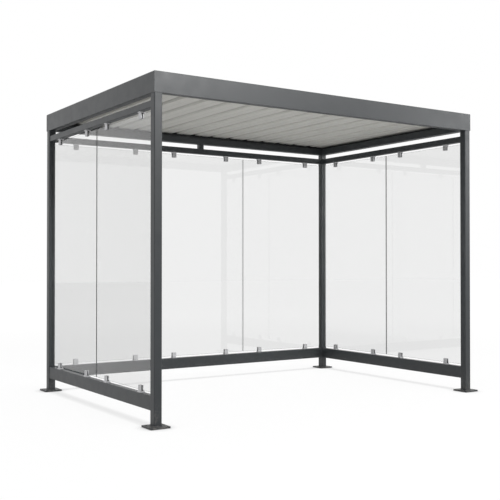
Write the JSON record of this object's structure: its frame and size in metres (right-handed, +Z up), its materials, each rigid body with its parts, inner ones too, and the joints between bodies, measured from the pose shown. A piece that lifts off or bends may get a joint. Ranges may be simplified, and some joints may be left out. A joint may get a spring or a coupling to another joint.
{
  "type": "bus shelter",
  "caption": "Free-standing bus shelter: square-tube frame on base plates, glass walls held by clamps on three sides, open front and a flat ribbed-sheet roof behind a folded fascia.",
  "frame": {"origin": "on the ground, midway between the four posts", "axes": "+X along the back wall to the right as seen from the open front, +Y from the open front to the back wall, +Z up"},
  "size_m": [3.145, 2.145, 2.405],
  "materials": {
    "frame_paint": "satin",
    "fascia_paint": "satin",
    "plate_paint": "satin",
    "roof_sheet": "satin",
    "glass": "polished",
    "clamp_metal": "brushed",
    "clamp_rubber": "matte",
    "closure_foam": "matte"
  },
  "bodies": {
    "root": {"front_left_post": "frame_paint", "front_left_base_plate": "plate_paint", "front_right_post": "frame_paint", "front_right_base_plate": "plate_paint", "back_left_post": "frame_paint", "back_left_base_plate": "plate_paint", "back_right_post": "frame_paint", "back_right_base_plate": "plate_paint", "front_roof_beam": "frame_paint", "front_fascia": "fascia_paint", "back_roof_beam": "frame_paint", "back_fascia": "fascia_paint", "left_roof_beam": "frame_paint", "left_fascia": "fascia_paint", "right_roof_beam": "frame_paint", "right_fascia": "fascia_paint", "front_sheet_packer": "frame_paint", "back_sheet_packer": "frame_paint", "left_roof_sheet": "roof_sheet", "middle_roof_sheet": "roof_sheet", "right_roof_sheet": "roof_sheet", "rib_closures": "closure_foam", "left_top_rail": "frame_paint", "left_bottom_rail": "frame_paint", "left_top_clamps": "clamp_metal", "left_bottom_clamps": "clamp_metal", "left_clamp_liners": "clamp_rubber", "back_top_rail": "frame_paint", "back_bottom_rail": "frame_paint", "back_top_clamps": "clamp_metal", "back_bottom_clamps": "clamp_metal", "back_clamp_liners": "clamp_rubber", "right_top_rail": "frame_paint", "right_bottom_rail": "frame_paint", "right_top_clamps": "clamp_metal", "right_bottom_clamps": "clamp_metal", "right_clamp_liners": "clamp_rubber", "back_rail_strut": "frame_paint", "left_wall_back_pane": "glass", "left_wall_front_pane": "glass", "back_wall_left_pane": "glass", "back_wall_middle_pane": "glass", "back_wall_right_pane": "glass", "right_wall_back_pane": "glass", "right_wall_front_pane": "glass"}
  },
  "joints": []
}
